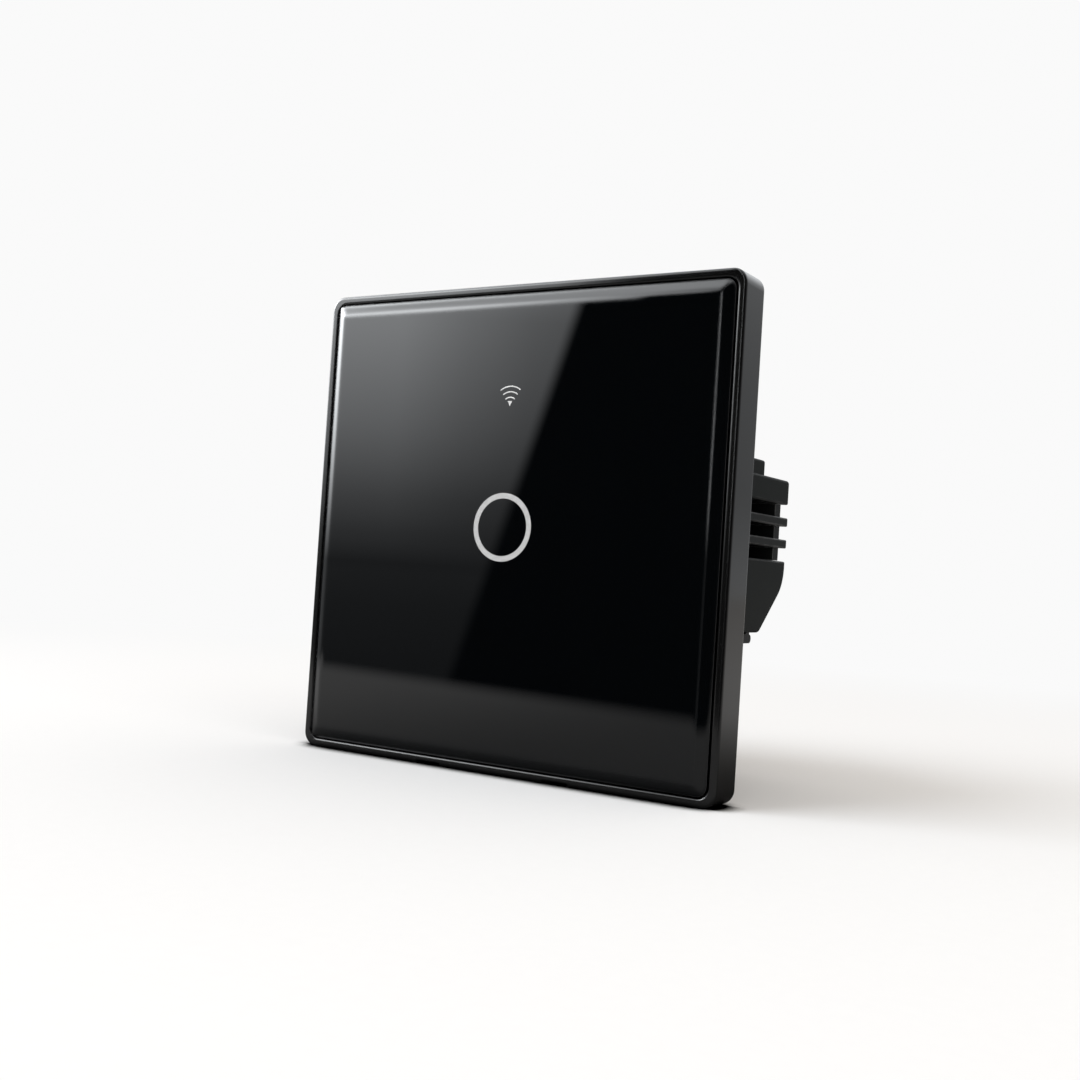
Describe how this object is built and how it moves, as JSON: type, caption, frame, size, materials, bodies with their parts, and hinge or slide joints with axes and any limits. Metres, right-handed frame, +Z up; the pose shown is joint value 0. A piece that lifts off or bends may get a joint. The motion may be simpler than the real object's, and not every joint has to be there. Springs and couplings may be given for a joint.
{
  "type": "touch light switch",
  "caption": "Square touch light switch: bevelled black glass in a slim snap-off frame, a printed touch ring, and a rear module with rising-cage wire clamps.",
  "frame": {"origin": "midway between the two wall-box screws, on the wall plane", "axes": "+Z up the wall, +X to the viewer's right, +Y into the wall, so the glass faces -Y"},
  "size_m": [0.086, 0.0443, 0.086],
  "materials": {
    "glass_black": "polished black-backed tempered glass",
    "ring_print": "light grey screen print",
    "sign_print": "near-white screen print",
    "adhesive_film": "black bonding sheet",
    "frame_plastic": "satin black moulding",
    "plate_plastic": "fine-textured black moulding",
    "cover_plastic": "fine-textured black moulding",
    "guide_clear": "clear moulding, lightly frosted",
    "spring_steel": "plated spring wire",
    "board_laminate": "green solder mask",
    "radio_laminate": "blue solder mask",
    "led_lens": "pale lens",
    "chip_epoxy": "moulded epoxy",
    "can_steel": "tin-plated sheet",
    "header_plastic": "black moulding",
    "relay_case": "blue moulded case",
    "ferrite": "ground ferrite",
    "winding_tape": "yellow polyester tape",
    "capacitor_sleeve": "dark heat-shrunk sleeve",
    "fuse_body": "ceramic coat",
    "varistor_coat": "dipped epoxy coat",
    "housing_plastic": "fine-textured black moulding",
    "terminal_plastic": "black moulding",
    "contact_brass": "stamped brass",
    "cage_steel": "zinc-plated steel",
    "screw_steel": "zinc-plated steel"
  },
  "bodies": {
    "base": {"base_plate": "plate_plastic", "inner_cover": "cover_plastic", "light_guide": "guide_clear", "touch_spring": "spring_steel", "control_board": "board_laminate", "status_leds": "led_lens", "touch_chip": "chip_epoxy", "wireless_module": "radio_laminate", "shield_can": "can_steel", "header_pins": "header_plastic", "header_socket": "header_plastic", "power_board": "board_laminate", "relay": "relay_case", "transformer_core": "ferrite", "transformer_winding": "winding_tape", "input_capacitor": "capacitor_sleeve", "output_capacitor": "capacitor_sleeve", "bridge_rectifier": "chip_epoxy", "fuse_resistor": "fuse_body", "varistor": "varistor_coat", "rear_housing": "housing_plastic", "terminal_block": "terminal_plastic", "housing_screws": "screw_steel", "cover_screws": "screw_steel", "board_screws": "screw_steel", "contact_bar_1": "contact_brass", "contact_bar_2": "contact_brass", "contact_bar_3": "contact_brass"},
    "front_panel": {"glass_panel": "glass_black", "touch_ring": "ring_print", "wireless_symbol": "sign_print", "glass_adhesive": "adhesive_film", "panel_frame": "frame_plastic"},
    "clamp_cage_1": {"clamp_cage_1": "cage_steel"},
    "clamp_screw_1": {"clamp_screw_1": "screw_steel"},
    "clamp_cage_2": {"clamp_cage_2": "cage_steel"},
    "clamp_screw_2": {"clamp_screw_2": "screw_steel"},
    "clamp_cage_3": {"clamp_cage_3": "cage_steel"},
    "clamp_screw_3": {"clamp_screw_3": "screw_steel"}
  },
  "joints": [
    {"name": "panel_lift", "type": "slide", "parent": "base", "child": "front_panel", "axis": [0, -1, 0], "range_m": [0, 0.02]},
    {"name": "cage_rise_1", "type": "slide", "parent": "base", "child": "clamp_cage_1", "axis": [1, 0, 0], "range_m": [0, 0.0022]},
    {"name": "clamp_turn_1", "type": "hinge", "parent": "base", "child": "clamp_screw_1", "pos_m": [0.0275, 0.0276, 0.007], "axis": [-1, 0, 0], "range_deg": [0, 1981]},
    {"name": "cage_rise_2", "type": "slide", "parent": "base", "child": "clamp_cage_2", "axis": [1, 0, 0], "range_m": [0, 0.0022]},
    {"name": "clamp_turn_2", "type": "hinge", "parent": "base", "child": "clamp_screw_2", "pos_m": [0.0275, 0.0276, 0.0029], "axis": [-1, 0, 0], "range_deg": [0, 1981]},
    {"name": "cage_rise_3", "type": "slide", "parent": "base", "child": "clamp_cage_3", "axis": [1, 0, 0], "range_m": [0, 0.0022]},
    {"name": "clamp_turn_3", "type": "hinge", "parent": "base", "child": "clamp_screw_3", "pos_m": [0.0275, 0.0276, -0.0012], "axis": [-1, 0, 0], "range_deg": [0, 1981]}
  ],
  "couplings": [
    {"joint": "clamp_turn_1", "follows": "cage_rise_1", "rad_per_m": 15708},
    {"joint": "clamp_turn_2", "follows": "cage_rise_2", "rad_per_m": 15708},
    {"joint": "clamp_turn_3", "follows": "cage_rise_3", "rad_per_m": 15708}
  ]
}
